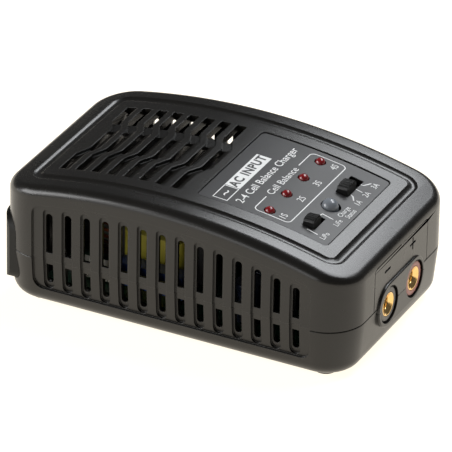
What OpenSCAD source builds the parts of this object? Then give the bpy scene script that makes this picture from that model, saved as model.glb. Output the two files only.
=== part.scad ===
// Mains balance charger for small multi-cell battery packs.
// +X points to the end with the two output jacks, -X to the mains inlet, +Z is up.
// The origin is on the table under the middle of the case.

/* [Case] */
// Length of the case without the jack boss and the rear bezel
case_l = 110; // [108:1:114]
// Width of the case at the parting line
case_w = 69; // [68:1:72]
// Height of the roof's crown above the table
case_h = 42; // [41:0.5:44]
// Height of the parting line above the table
parting_z = 16.4; // [16:0.1:17]
// Radius of the vertical corners in plan
corner_r = 11.6; // [10.5:0.1:12.5]
// Radius of the roof's arch along the length
arch_r = 195; // [185:5:210]
// Place of the arch's crown along the length
arch_x = -6.9; // [-9:0.1:-4]
// Fillet between the roof and the sides
roof_fillet_r = 3.2; // [2.6:0.1:3.8]
// Wall thickness of both shells
wall_t = 2.4; // [2.2:0.1:2.6]
// Height of the rubber feet below the case
foot_h = 1.2; // [1:0.1:1.6]

/* [Side vents] */
// Number of slots along one side
side_slots = 14; // [8:1:14]
// Distance between slots
side_slot_pitch = 5.93; // [5.7:0.01:5.95]
// Width of a slot
side_slot_w = 2.1; // [1.8:0.1:2.3]
// Depth of the recessed panel around the slots
panel_depth = 0.7; // [0.5:0.1:0.8]
// Depth of the pocket around each slot
pocket_depth = 0.7; // [0.4:0.1:0.7]

/* [Roof vents] */
// Number of zig-zag channels
roof_channels = 8; // [4:1:8]
// Distance between channels
roof_channel_pitch = 5.03; // [5:0.01:5.1]
// Width of a channel
roof_channel_w = 3; // [2.4:0.1:3.1]
// Sideways step in the middle of each channel
roof_channel_step = 2.25; // [1.5:0.05:2.3]

/* [Jacks and sockets] */
// Distance between the two output jacks
jack_pitch = 16.5; // [16:0.1:17]
// Bore of the output jacks
jack_bore_d = 4; // [3.9:0.05:4.1]
// How far the jack boss and the rear bezel stand out of the case
proud_t = 0.6; // [0.5:0.1:0.9]

/* [Controls] */
// Travel of the battery chemistry switch
chemistry_travel = 2; // [1.5:0.1:2.2]
// Travel of the three-position current switch
current_travel = 4; // [3:0.2:4.2]
// Distance between the cell lights
cell_light_pitch = 10.7; // [10:0.1:11]

/* [Hidden] */

$fn = 48;
eps = 0.01;
half_l = case_l / 2;
half_w = case_w / 2;
floor_z = foot_h;
floor_t = 2.4;
roof_t = 2.2;
shell_cut = 2 * case_l;

// Lower shell
draft_angle = 4.7;
draft_in = (parting_z - floor_z) * tan(draft_angle) * 0.78;
floor_fillet_r = 4.6;
lower_inset = wall_t + draft_in;

// Roof details
groove_l = 94;
groove_w = 53.2;
groove_r = 3.5;
groove_t = 2.9;
groove_depth = 0.55;
channel_first_x = -40.45;
channel_end_y = 20.9;
channel_near_kink_y = [-10.6, -6.3];
channel_far_kink_y = [6.4, 11.4];
channel_kink_depth = 1.1;
label_x = [1.4, 41.4];
label_y = [-20.5, 20.9];
label_r = 1.2;
label_t = 0.3;
label_recess = 0.6;

// Side vents
slot_drop = 8.4;
slot_low_z = 18.4;
lower_slot_z = [8.6, 14.6];
pocket_margin = 0.6;
pocket_over = 1.7;
panel_low_z = 6.6;
panel_drop = 5.4;
panel_half_l = 43.5;
panel_r = 3.2;
vented_far_slots = 7;
side_reach = 6;

// Output jacks
jack_z = 14.8;
boss_r = 6.7;
boss_back_x = half_l - lower_inset;
jack_seat_r = 5.6;
jack_hole_r = 4.8;
ring_r = 5.05;
ring_t = 0.8;
ring_neck_r = 4.7;
ring_neck_l = 6.4;
sleeve_r = 3.5;
sleeve_l = 21;
jack_face_x = half_l + 0.2;
jack_mouth_r = 3.2;
jack_mouth_t = 1.1;
jack_nut_af = 12;

// Rear bezel and mains inlet
bezel_z = [5.6, 25.4];
bezel_half_w = 32.6;
bezel_edge_r = 4;
bezel_corner_r = corner_r - 0.6;
bezel_seat = 1.2;
bezel_gap = 0.15;
inlet_z = 15.5;
inlet_w = 18.4;
inlet_h = 11.4;
inlet_l = 17;
inlet_cavity_w = 15.9;
inlet_cavity_h = 8.4;
inlet_cavity_l = 13;
inlet_pin_pitch = 8.6;
inlet_pin_r = 1.18;

// Controls
control_x = 33.6;
cell_light_x = 21.7;
cell_light_y = 0.05;
cell_light_r = 1.5;
status_light_y = -2.1;
status_light_r = 2.5;
light_hole_gap = 0.22;
knob_w = 3.4;
knob_gap = 0.08;
knob_rise = 2.2;
chemistry_knob_l = 4.6;
current_knob_l = 5.8;
chemistry_knob_y = -15.8;
current_knob_y = 5.6;
knob_base_z = 30.5;
board_t = 1.6;
control_board_z = 25;

// Fasteners and feet
post_xy = [46, 18.4];
post_r = 4.3;
case_screw_r = 1.5;
case_screw_head_r = 2.8;
case_screw_seat_z = 8.5;
foot_xy = [44.5, 25.4];
foot_r = 3.6;
foot_seat = 0.6;
board_screw_xy = [38, 20];
board_screw_r = 1.25;
board_screw_head_r = 2.3;
board_boss_r = 3;

// Main board
main_board_l = 83;
main_board_w = 60;
main_board_z = 7;
board_top_z = main_board_z + board_t;

// Balance sockets
socket_pitch = 2.5;
socket_h = 5.8;
socket_l = 9.5;
socket_gap = 1.6;
socket_first_x = 2.4;
socket_face_y = half_w - 0.9;
socket_wall = 0.75;

// Transformer
trafo_x = -11;
trafo_y = -14;
trafo_z = board_top_z + 3;
trafo_l = 22;
trafo_w = 17;
trafo_h = 18;

case_colour = [0.24, 0.23, 0.21];
roof_colour = [0.28, 0.28, 0.30];
label_colour = [0.45, 0.45, 0.47];
gold = [0.93, 0.77, 0.45];

// Height of the roof, or of a layer under it, above a place along the length
function arch_z(x, drop = 0) = case_h - arch_r + sqrt(pow(arch_r - drop, 2) - pow(x - arch_x, 2));
// Place of the middle of side slot number i
function side_slot_x(i) = (i - (side_slots - 1) / 2) * side_slot_pitch;
// Width of a balance socket that takes the given number of pins
function socket_w(pins) = (pins - 1) * socket_pitch + 4.9;
// Middle of each balance socket, in order of size
socket_x3 = socket_first_x + socket_w(3) / 2;
socket_x4 = socket_x3 + socket_w(3) / 2 + socket_gap + socket_w(4) / 2;
socket_x5 = socket_x4 + socket_w(4) / 2 + socket_gap + socket_w(5) / 2;

module rounded_rect(l, w, r) {
    square([l - 2 * r, w], center = true);
    square([l, w - 2 * r], center = true);
    for (x = [-1, 1], y = [-1, 1])
        translate([x * (l / 2 - r), y * (w / 2 - r)]) circle(r);
}

module stadium(l, w) {
    square([l - w, w], center = true);
    for (x = [-1, 1])
        translate([x * (l - w) / 2, 0]) circle(d = w);
}

module at_corners(place) {
    for (x = [-1, 1], y = [-1, 1])
        translate([x * place[0], y * place[1], 0]) children();
}

// Everything below the arch, lowered by a drop
module under_arch(drop = 0, steps = 360) {
    translate([arch_x, 0, case_h - arch_r])
        rotate([90, 0, 0]) cylinder(r = arch_r - drop, h = shell_cut, center = true, $fn = steps);
}

// A flat outline in the side view, as a bar through the whole width
module across(w = shell_cut) {
    rotate([90, 0, 0]) linear_extrude(w, center = true) children();
}

// A flat outline in the end view, as a bar of length l from x0 towards +X
module along(x0, l) {
    translate([x0, 0, 0]) rotate([90, 0, 90]) linear_extrude(l) children();
}

// Plan outline of the case, made smaller by an inset
module case_plan(inset = 0) {
    rounded_rect(case_l - 2 * inset, case_w - 2 * inset, corner_r - inset);
}

module side_slot_outlines(grow = 0) {
    for (i = [0 : side_slots - 1]) {
        x = side_slot_x(i);
        top = arch_z(x, slot_drop);
        w = side_slot_w + 2 * grow;
        low = lower_slot_z[0];
        if (grow > 0)
            translate([x, (low + top) / 2]) rotate(90) stadium(top - low + 2 * pocket_over, w);
        else {
            translate([x - w / 2, slot_low_z]) square([w, top - w / 2 - slot_low_z]);
            translate([x, top - w / 2]) circle(d = w, $fn = 24);
            translate([x - w / 2, low + w / 2]) square([w, lower_slot_z[1] - low - w / 2]);
            translate([x, low + w / 2]) circle(d = w, $fn = 24);
        }
    }
}

// The recessed panel in the side view, up to a line under the arch
module panel_block() {
    across() offset(r = panel_r) offset(delta = -panel_r) intersection() {
        translate([arch_x, case_h - arch_r]) circle(r = arch_r - panel_drop, $fn = 360);
        translate([0, (panel_low_z + case_h) / 2])
            square([2 * panel_half_l, case_h - panel_low_z], center = true);
    }
}

// Cuts a layer of the given depth out of one side wall, inside the child's area
module side_layer(depth) {
    difference() {
        children();
        translate([0, 0, parting_z + shell_cut / 4])
            cube([shell_cut, case_w - 2 * depth, shell_cut / 2], center = true);
        intersection() {
            for (s = [-1, 1])
                translate([0, s * (half_w - depth), parting_z]) rotate([s * draft_angle, 0, 0])
                    translate([0, -s * half_w / 2, -shell_cut / 4])
                        cube([shell_cut, half_w, shell_cut / 2 + eps], center = true);
            translate([0, 0, parting_z - shell_cut / 4])
                cube([shell_cut, shell_cut, shell_cut / 2 + eps], center = true);
        }
        cube([shell_cut, case_w - 2 * side_reach, shell_cut], center = true);
    }
}

module side_vents() {
    side_layer(panel_depth) panel_block();
    side_layer(panel_depth + pocket_depth) near_and_far() side_slot_outlines(pocket_margin);
    near_and_far() side_slot_outlines();
}

// Side slots run along the whole near side and along the rear part of the far side
module near_and_far() {
    far_end = (side_slot_x(vented_far_slots - 1) + side_slot_x(vented_far_slots)) / 2;
    translate([0, -half_w, 0]) across(2 * side_reach) children();
    intersection() {
        translate([0, half_w, 0]) across(2 * side_reach) children();
        translate([far_end - shell_cut, 0, 0]) cube([shell_cut, shell_cut, shell_cut]);
    }
}

// One straight open stretch of a roof channel between two places across the roof
module channel_slot(x, y0, y1) {
    translate([x, y0]) square([roof_channel_w, y1 - y0]);
}

// One slanted stretch that joins two open ones
module channel_kink(x0, y0, x1, y1) {
    w = roof_channel_w;
    polygon([[x0, y0 - eps], [x0 + w, y0 - eps], [x1 + w, y1 + eps], [x1, y1 + eps]]);
}

module roof_channel_slots() {
    for (i = [0 : roof_channels - 1]) {
        x = channel_first_x + i * roof_channel_pitch - roof_channel_w / 2;
        channel_slot(x, -channel_end_y, channel_near_kink_y[0]);
        channel_slot(x + roof_channel_step, channel_near_kink_y[1], channel_far_kink_y[0]);
        channel_slot(x, channel_far_kink_y[1], channel_end_y);
    }
}

module roof_channel_kinks() {
    for (i = [0 : roof_channels - 1]) {
        x = channel_first_x + i * roof_channel_pitch - roof_channel_w / 2;
        channel_kink(x, channel_near_kink_y[0], x + roof_channel_step, channel_near_kink_y[1]);
        channel_kink(x + roof_channel_step, channel_far_kink_y[0], x, channel_far_kink_y[1]);
    }
}

// Cuts the child's outline into the roof down to a depth that follows the arch
module roof_layer(depth) {
    difference() {
        translate([0, 0, parting_z + 2]) linear_extrude(case_h) children();
        under_arch(depth);
    }
}

module label_outline(inset = 0) {
    translate([(label_x[0] + label_x[1]) / 2, (label_y[0] + label_y[1]) / 2])
        rounded_rect(label_x[1] - label_x[0] - 2 * inset, label_y[1] - label_y[0] - 2 * inset, label_r);
}

module knob_slot(y, l, travel, gap) {
    translate([control_x - knob_w / 2 - gap, y - gap]) square([knob_w + 2 * gap, l + travel + 2 * gap]);
}

// Holes for the lights and the two knobs
module control_holes(gap) {
    for (i = [0 : 3])
        translate([cell_light_x, light_y(i)]) circle(cell_light_r + gap);
    translate([control_x, status_light_y]) circle(status_light_r + gap);
    knob_slot(chemistry_knob_y, chemistry_knob_l, chemistry_travel, gap + knob_gap);
    knob_slot(current_knob_y, current_knob_l, current_travel, gap + knob_gap);
}

function light_y(i) = cell_light_y + (i - 1.5) * cell_light_pitch;

// The jack boss in the end view
module boss_outline(grow = 0) {
    translate([0, jack_z]) stadium(jack_pitch + 2 * boss_r + 2 * grow, 2 * boss_r + 2 * grow);
}

// A hole for each jack, with a wider seat for its ring
module jack_holes() {
    for (s = [-1, 1])
        translate([0, s * jack_pitch / 2, jack_z]) rotate([0, 90, 0]) {
            translate([0, 0, half_l - 8]) cylinder(r = jack_hole_r, h = 20);
            translate([0, 0, jack_face_x - ring_t]) cylinder(r = jack_seat_r, h = 20);
        }
}

// The rear bezel in the end view
module bezel_outline(grow = 0) {
    h = bezel_z[1] - bezel_z[0];
    translate([0, (bezel_z[0] + bezel_z[1]) / 2])
        rounded_rect(2 * (bezel_half_w + grow), h + 2 * grow, bezel_edge_r + grow);
}

// Seat of the rear bezel and the window for the inlet
module rear_cuts() {
    difference() {
        along(-half_l - 5, 20) bezel_outline(bezel_gap);
        linear_extrude(case_h) case_plan(bezel_seat);
    }
    along(-half_l - 5, 14) translate([0, inlet_z]) square([inlet_w + 0.4, inlet_h + 0.4], center = true);
}

module socket_windows() {
    for (s = [[3, socket_x3], [4, socket_x4], [5, socket_x5]])
        translate([s[1], half_w, board_top_z + socket_h / 2])
            cube([socket_w(s[0]) + 0.5, 14, socket_h + 0.5], center = true);
}

module top_shell_outer() {
    sphere_steps = 20;
    grown = roof_fillet_r / cos(90 / (sphere_steps / 2));
    minkowski() {
        intersection() {
            translate([0, 0, parting_z - roof_fillet_r]) linear_extrude(case_h)
                offset(delta = -(roof_fillet_r)) case_plan(0, $fn = 40);
            under_arch(roof_fillet_r, 300);
        }
        sphere(grown, $fn = sphere_steps);
    }
}

module top_shell() {
    color(roof_colour) difference() {
        union() {
            difference() {
                intersection() {
                    top_shell_outer();
                    translate([0, 0, parting_z + shell_cut / 2]) cube(shell_cut, center = true);
                }
                intersection() {
                    translate([0, 0, parting_z - 1]) linear_extrude(case_h) case_plan(wall_t);
                    under_arch(roof_t);
                }
            }
            intersection() {
                translate([0, 0, parting_z]) linear_extrude(case_h)
                    at_corners(post_xy) circle(post_r);
                under_arch(roof_t / 2);
            }
            top_boss();
        }
        side_vents();
        roof_layer(groove_depth) difference() {
            rounded_rect(groove_l + groove_t, groove_w + groove_t, groove_r + groove_t / 2);
            rounded_rect(groove_l - groove_t, groove_w - groove_t, groove_r - groove_t / 2);
        }
        translate([0, 0, parting_z + 5]) linear_extrude(case_h) roof_channel_slots();
        roof_layer(channel_kink_depth) roof_channel_kinks();
        roof_layer(label_recess) label_outline(-0.1);
        translate([0, 0, parting_z + 5]) linear_extrude(case_h) control_holes(light_hole_gap + 0.1);
        translate([0, 0, parting_z - 1]) linear_extrude(13) at_corners(post_xy) circle(case_screw_r - 0.25);
        jack_holes();
        rear_cuts();
    }
}

// The upper half of the jack boss hangs below the parting line
module top_boss() {
    intersection() {
        along(boss_back_x, lower_inset + proud_t) boss_outline();
        translate([0, 0, jack_z + shell_cut / 2]) cube(shell_cut, center = true);
    }
}

module bottom_shell_outer() {
    low_r = corner_r - draft_in;
    hull() {
        translate([0, 0, parting_z - 0.4]) linear_extrude(0.4) case_plan(0, $fn = 40);
        at_corners([half_l - corner_r, half_w - corner_r]) translate([0, 0, floor_z + floor_fillet_r])
            rotate_extrude($fn = 40) translate([low_r - floor_fillet_r, 0])
                circle(floor_fillet_r, $fn = 24);
    }
}

module bottom_shell() {
    color(case_colour) difference() {
        union() {
            difference() {
                bottom_shell_outer();
                translate([0, 0, floor_z + floor_t]) linear_extrude(case_h) case_plan(lower_inset);
            }
            at_corners(post_xy) translate([0, 0, floor_z + 1])
                cylinder(r = post_r, h = parting_z - floor_z - 1);
            at_corners(board_screw_xy) translate([0, 0, floor_z + 1])
                cylinder(r = board_boss_r, h = main_board_z - floor_z - 1);
            intersection() {
                along(boss_back_x, lower_inset + proud_t) boss_outline();
                translate([0, 0, jack_z - shell_cut / 2]) cube(shell_cut, center = true);
            }
        }
        side_vents();
        difference() {
            along(boss_back_x - eps, 20) boss_outline(0.05);
            translate([0, 0, jack_z - shell_cut / 2]) cube(shell_cut, center = true);
        }
        jack_holes();
        rear_cuts();
        socket_windows();
        at_corners(post_xy) translate([0, 0, -eps]) {
            cylinder(r = case_screw_r + 0.2, h = parting_z + 1);
            cylinder(r = case_screw_head_r + 0.3, h = case_screw_seat_z + 2 * eps);
        }
        at_corners(foot_xy) cylinder(r = foot_r + 0.1, h = floor_z + foot_seat);
        at_corners(board_screw_xy) translate([0, 0, floor_z + 2]) cylinder(r = board_screw_r - 0.2, h = 20);
    }
}

module label_overlay() {
    color(label_colour) difference() {
        intersection() {
            translate([0, 0, parting_z]) linear_extrude(case_h) label_outline();
            under_arch(label_recess - label_t);
        }
        under_arch(label_recess);
        translate([0, 0, parting_z]) linear_extrude(case_h) control_holes(light_hole_gap);
    }
}

module rear_bezel() {
    color([0.07, 0.07, 0.07]) difference() {
        intersection() {
            along(-half_l - 5, 20) bezel_outline();
            linear_extrude(case_h) difference() {
                rounded_rect(case_l + 2 * proud_t, case_w + 2 * proud_t, bezel_corner_r);
                case_plan(bezel_seat - 0.05);
            }
            translate([-case_l, 0, 0])
                cube([2 * case_l - 2 * corner_r, case_w, shell_cut], center = true);
        }
        along(-half_l - 5, 14) translate([0, inlet_z])
            square([inlet_w + 0.1, inlet_h + 0.1], center = true);
    }
}

module inlet_cavity_outline() {
    translate([0, inlet_z]) stadium(inlet_cavity_w, inlet_cavity_h);
}

module ac_inlet_body() {
    face_x = -half_l - proud_t;
    color([0.05, 0.05, 0.05]) difference() {
        along(face_x, inlet_l) translate([0, inlet_z]) rounded_rect(inlet_w, inlet_h, 1.2);
        along(face_x - 1, inlet_cavity_l + 1) inlet_cavity_outline();
        for (s = [-1, 1])
            translate([face_x, s * inlet_pin_pitch / 2, inlet_z]) rotate([0, 90, 0])
                cylinder(r = inlet_pin_r, h = 30);
    }
}

module ac_inlet_pins() {
    start_x = -half_l - proud_t + 3;
    color([0.75, 0.75, 0.72]) for (s = [-1, 1])
        translate([start_x, s * inlet_pin_pitch / 2, inlet_z]) {
            translate([inlet_pin_r, 0, 0]) rotate([0, 90, 0]) cylinder(r = inlet_pin_r, h = 15);
            translate([inlet_pin_r, 0, 0]) sphere(inlet_pin_r);
        }
}

module jack_sleeve(s) {
    color(gold) translate([jack_face_x, s * jack_pitch / 2, jack_z]) rotate([0, -90, 0]) difference() {
        union() {
            cylinder(r = sleeve_r, h = sleeve_l);
            translate([0, 0, sleeve_l - 5]) cylinder(r = sleeve_r + 0.6, h = 2);
        }
        translate([0, 0, -eps]) cylinder(d = jack_bore_d, h = sleeve_l - 2);
        translate([0, 0, -eps])
            cylinder(r1 = jack_mouth_r, r2 = jack_bore_d / 2, h = jack_mouth_t);
    }
}

module jack_ring(s, colour) {
    color(colour) translate([jack_face_x, s * jack_pitch / 2, jack_z]) rotate([0, -90, 0]) difference() {
        union() {
            cylinder(r = ring_r, h = ring_t);
            cylinder(r = ring_neck_r, h = ring_neck_l);
        }
        translate([0, 0, -1]) cylinder(r = sleeve_r, h = 20);
    }
}

module jack_nuts() {
    color([0.8, 0.8, 0.78]) for (s = [-1, 1])
        translate([boss_back_x - 0.05, s * jack_pitch / 2, jack_z]) rotate([0, -90, 0]) difference() {
            cylinder(d = jack_nut_af / cos(30), h = 2.4, $fn = 6);
            translate([0, 0, -1]) cylinder(r = ring_neck_r + 0.05, h = 6);
        }
}

// A round-topped light with a base flange and two legs that reach the board
module light(x, y, r, top_z) {
    body_l = 3.2 * r;
    translate([x, y, 0]) {
        translate([0, 0, top_z - r]) sphere(r);
        translate([0, 0, top_z - r - body_l]) cylinder(r = r, h = body_l);
        translate([0, 0, top_z - r - body_l]) cylinder(r = r + 0.4, h = 0.9);
        for (s = [-1, 1])
            translate([-0.25, s * 1.27 - 0.25, control_board_z - 1])
                cube([0.5, 0.5, top_z - r - body_l - control_board_z + 1.5]);
    }
}

module cell_light(i) {
    label_z = arch_z(cell_light_x, label_recess - label_t);
    color([0.5, 0.03, 0.05]) light(cell_light_x, light_y(i), cell_light_r, label_z + cell_light_r - 0.3);
}

module status_light() {
    label_z = arch_z(control_x, label_recess - label_t);
    color([0.8, 0.82, 0.85])
        light(control_x, status_light_y, status_light_r, label_z + status_light_r - 0.4);
}

module switch_body(y, l, travel) {
    over = 2.6;
    color([0.7, 0.7, 0.7]) difference() {
        translate([control_x - 2.9, y - over, control_board_z + board_t])
            cube([5.8, l + travel + 2 * over, 6]);
        translate([control_x - 1.5, y + 0.2, knob_base_z - 0.3])
            cube([3, l + travel - 0.4, 10]);
    }
}

// A ribbed finger knob on a narrow stem; the ribs cross the travel
module switch_knob(y, l) {
    top_z = arch_z(control_x) + knob_rise;
    ribs = floor((l - 0.4) / 0.9);
    groove_w_y = 0.4;
    color([0.05, 0.05, 0.05]) difference() {
        union() {
            translate([control_x - knob_w / 2, y, control_board_z + board_t + 6.4])
                cube([knob_w, l, top_z - control_board_z - board_t - 6.4]);
            translate([control_x - 1.2, y + 0.5, knob_base_z]) cube([2.4, l - 1, 4]);
        }
        for (i = [0 : ribs])
            translate([control_x - knob_w, y + (l - groove_w_y) * i / ribs, top_z - 0.35])
                cube([2 * knob_w, groove_w_y, 1]);
    }
}

module control_board() {
    color([0.1, 0.35, 0.2]) difference() {
        translate([18, -20.5, control_board_z]) cube([20.5, 41, board_t]);
        for (i = [0 : 3], s = [-1, 1])
            translate([cell_light_x - 0.3, light_y(i) + s * 1.27 - 0.3, 0]) cube([0.6, 0.6, case_h]);
        for (s = [-1, 1])
            translate([control_x - 0.3, status_light_y + s * 1.27 - 0.3, 0]) cube([0.6, 0.6, case_h]);
    }
}

// The pin strip that carries the control board above the main board
module board_link() {
    color([0.08, 0.08, 0.08]) translate([27, -14, board_top_z])
        cube([2.5, 20, control_board_z - board_top_z]);
}

module main_board() {
    color([0.1, 0.35, 0.2]) difference() {
        translate([-main_board_l / 2, -main_board_w / 2, main_board_z])
            cube([main_board_l, main_board_w, board_t]);
        at_corners(board_screw_xy) cylinder(r = board_screw_r + 0.15, h = 20);
        at_corners(post_xy) cylinder(r = post_r + 0.6, h = 20);
    }
}

module screw(r, l, head_r, head_h) {
    difference() {
        union() {
            cylinder(r = r, h = l);
            translate([0, 0, -head_h]) cylinder(r = head_r, h = head_h);
        }
        for (a = [0, 90])
            rotate(a) translate([0, 0, -head_h])
                cube([head_r * 1.2, head_r * 0.25, head_h * 1.2], center = true);
    }
}

module board_screws() {
    color([0.75, 0.75, 0.75]) at_corners(board_screw_xy) translate([0, 0, board_top_z])
        mirror([0, 0, 1]) screw(board_screw_r - 0.2, 4.2, board_screw_head_r, 1.5);
}

module case_screws() {
    color([0.1, 0.1, 0.1]) at_corners(post_xy) translate([0, 0, case_screw_seat_z])
        screw(case_screw_r - 0.25, 16, case_screw_head_r, 1.8);
}

module rubber_feet() {
    top_z = floor_z + foot_seat;
    color([0.06, 0.06, 0.06]) at_corners(foot_xy) rotate_extrude()
        polygon([[0, 0], [foot_r - 0.4, 0], [foot_r, 0.5], [foot_r, top_z], [0, top_z]]);
}

module balance_socket(pins, x) {
    w = socket_w(pins);
    color([0.88, 0.87, 0.82]) translate([x, socket_face_y, board_top_z]) difference() {
        translate([-w / 2, -socket_l, 0]) cube([w, socket_l, socket_h]);
        translate([-w / 2 + socket_wall, -socket_l + 2.4, socket_wall])
            cube([w - 2 * socket_wall, socket_l, socket_h - 2 * socket_wall]);
        for (s = [-1, 1])
            translate([s * (w / 2 - 2.2) - 0.5, -socket_l + 4.5, socket_h / 2])
                cube([1, socket_l, socket_h]);
        socket_pin_row(pins) translate([-0.34, -20, -0.34]) cube([0.68, 30, 0.68]);
    }
}

// Places a child at each pin of a balance socket
module socket_pin_row(pins) {
    for (i = [0 : pins - 1])
        translate([(i - (pins - 1) / 2) * socket_pitch, 0, socket_h / 2]) children();
}

module balance_socket_pins() {
    color([0.85, 0.8, 0.6]) for (s = [[3, socket_x3], [4, socket_x4], [5, socket_x5]])
        translate([s[1], socket_face_y, board_top_z]) socket_pin_row(s[0]) {
            translate([-0.32, -socket_l - 1.6, -0.32]) cube([0.64, socket_l, 0.64]);
            translate([-0.32, -socket_l - 1.6, -socket_h / 2]) cube([0.64, 0.64, socket_h / 2]);
        }
}

// Two-part ferrite core around the tape-wrapped winding
module transformer_core() {
    color([0.17, 0.17, 0.18]) translate([trafo_x, trafo_y, trafo_z + trafo_h / 2]) difference() {
        cube([trafo_l + 5, 9, trafo_h], center = true);
        cube([trafo_l - 2, 10, trafo_h - 7], center = true);
    }
    color([0.17, 0.17, 0.18]) translate([trafo_x, trafo_y, trafo_z + trafo_h / 2])
        cube([6, 9, trafo_h - 6.9], center = true);
}

module transformer_winding() {
    color([0.85, 0.7, 0.15]) translate([trafo_x, trafo_y, trafo_z + trafo_h / 2]) difference() {
        linear_extrude(trafo_h - 7.4, center = true) rounded_rect(trafo_l - 2.4, trafo_w + 2, 3);
        cube([6.2, 9.2, 30], center = true);
    }
    color([0.85, 0.7, 0.15]) for (s = [-1, 1])
        translate([trafo_x, trafo_y + s * (trafo_w / 2 - 0.5), board_top_z + 2])
            cube([trafo_l - 6, 4, 4], center = true);
}

module filter_capacitor() {
    color([0.08, 0.16, 0.4]) translate([-18.5, -30.2, board_top_z]) {
        translate([0, 0, 3.9]) cube([20.5, 5, 6.9]);
        for (x = [3, 16.7])
            translate([x, 2.1, 0]) cube([0.8, 0.8, 4]);
    }
}

module bulk_capacitor() {
    color([0.1, 0.1, 0.12]) translate([-20, 17, board_top_z]) {
        cylinder(r = 8, h = 25);
        translate([0, 0, 25]) cylinder(r = 7, h = 0.4);
    }
}

module output_capacitors() {
    color([0.12, 0.2, 0.16]) for (y = [-24, -15])
        translate([20, y, board_top_z]) cylinder(r = 4, h = 12);
}

module bridge_rectifier() {
    color([0.07, 0.07, 0.07]) translate([-34, 1, board_top_z + 3]) cube([4, 15, 11]);
    color([0.07, 0.07, 0.07]) for (i = [0 : 3])
        translate([-32.4, 3.2 + i * 3.5, board_top_z]) cube([0.8, 0.8, 3.2]);
}

module line_fuse() {
    color([0.8, 0.78, 0.7]) translate([-34, -24, board_top_z + 3])
        rotate([0, 90, 0]) cylinder(r = 3, h = 14);
}

module line_choke_core() {
    color([0.3, 0.33, 0.3]) translate([-30.5, -9, board_top_z + 9]) rotate([0, 90, 0])
        rotate_extrude() translate([6, 0]) square([3, 5], center = true);
}

// Turns wound round the ring of the choke
module line_choke_winding() {
    turns = 10;
    color([0.7, 0.35, 0.15]) translate([-30.5, -9, board_top_z + 9]) rotate([0, 90, 0])
        for (i = [0 : turns - 1], s = [0, 1])
            rotate(s * 180 + 90 + (i - (turns - 1) / 2) * 13) translate([6, 0, 0]) difference() {
                cube([4.8, 0.8, 6.8], center = true);
                cube([3.4, 1, 5.4], center = true);
            }
}

module output_inductor() {
    color([0.25, 0.24, 0.22]) translate([16, 6, board_top_z]) difference() {
        cylinder(r = 6, h = 9);
        for (a = [0 : 30 : 330])
            rotate(a) translate([6.3, 0, 4.5]) cube([0.8, 1, 6], center = true);
    }
}

module heat_sink() {
    color([0.7, 0.7, 0.72]) translate([-8, 7, board_top_z]) {
        cube([16, 2, 20]);
        for (i = [0 : 4])
            translate([i * 3.5, 1.9, 0]) cube([1.4, 6, 20]);
    }
}

module power_transistor() {
    color([0.07, 0.07, 0.07]) translate([-5, 2.4, board_top_z + 4]) {
        cube([10, 4.6, 9]);
        translate([0, 3.3, 8.9]) cube([10, 1.3, 5]);
        for (i = [0 : 2])
            translate([2 + i * 2.54, 1.5, -4]) cube([0.8, 0.6, 4.1]);
    }
}

top_shell();
bottom_shell();
label_overlay();
rear_bezel();
ac_inlet_body();
ac_inlet_pins();
jack_sleeve(1);  // jack_sleeve_positive
jack_sleeve(-1);  // jack_sleeve_negative
jack_ring(1, [0.6, 0.15, 0.12]);  // jack_ring_positive
jack_ring(-1, [0.08, 0.08, 0.08]);  // jack_ring_negative
jack_nuts();
cell_light(0);  // cell_light_1
cell_light(1);  // cell_light_2
cell_light(2);  // cell_light_3
cell_light(3);  // cell_light_4
status_light();
switch_body(chemistry_knob_y, chemistry_knob_l, chemistry_travel);  // chemistry_switch_body
switch_knob(chemistry_knob_y, chemistry_knob_l);  // chemistry_switch_knob
switch_body(current_knob_y, current_knob_l, current_travel);  // current_switch_body
switch_knob(current_knob_y, current_knob_l);  // current_switch_knob
control_board();
board_link();
main_board();
board_screws();
case_screws();
rubber_feet();
balance_socket(3, socket_x3);  // balance_socket_3pin
balance_socket(4, socket_x4);  // balance_socket_4pin
balance_socket(5, socket_x5);  // balance_socket_5pin
balance_socket_pins();
transformer_core();
transformer_winding();
filter_capacitor();
bulk_capacitor();
output_capacitors();
bridge_rectifier();
line_fuse();
line_choke_core();
line_choke_winding();
output_inductor();
heat_sink();
power_transistor();
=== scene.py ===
import math

import bmesh
import bpy
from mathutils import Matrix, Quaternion, Vector


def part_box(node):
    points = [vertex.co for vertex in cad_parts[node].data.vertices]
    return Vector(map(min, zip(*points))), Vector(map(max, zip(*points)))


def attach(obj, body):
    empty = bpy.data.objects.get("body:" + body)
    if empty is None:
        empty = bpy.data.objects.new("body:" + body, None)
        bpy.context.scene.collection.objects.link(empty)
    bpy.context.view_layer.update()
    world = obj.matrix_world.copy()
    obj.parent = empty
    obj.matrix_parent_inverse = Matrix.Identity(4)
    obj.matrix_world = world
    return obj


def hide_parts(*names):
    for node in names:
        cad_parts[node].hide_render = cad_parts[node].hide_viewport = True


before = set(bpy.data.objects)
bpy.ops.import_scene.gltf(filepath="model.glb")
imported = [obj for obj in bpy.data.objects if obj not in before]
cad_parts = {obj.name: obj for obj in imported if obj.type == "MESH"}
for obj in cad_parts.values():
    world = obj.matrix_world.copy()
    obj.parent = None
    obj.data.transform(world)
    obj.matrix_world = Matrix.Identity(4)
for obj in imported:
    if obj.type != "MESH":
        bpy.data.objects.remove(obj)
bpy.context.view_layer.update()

# ---------------------------------------------------------------- sizes, in millimetres
MM = 0.001


def box(node):
    lo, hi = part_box(node)
    return [v / MM for v in lo], [v / MM for v in hi]


low_box, top_box = box("bottom_shell"), box("top_shell")
label_box, socket_boxes = box("label_overlay"), [box(f"balance_socket_{n}pin") for n in (3, 4, 5)]
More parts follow.
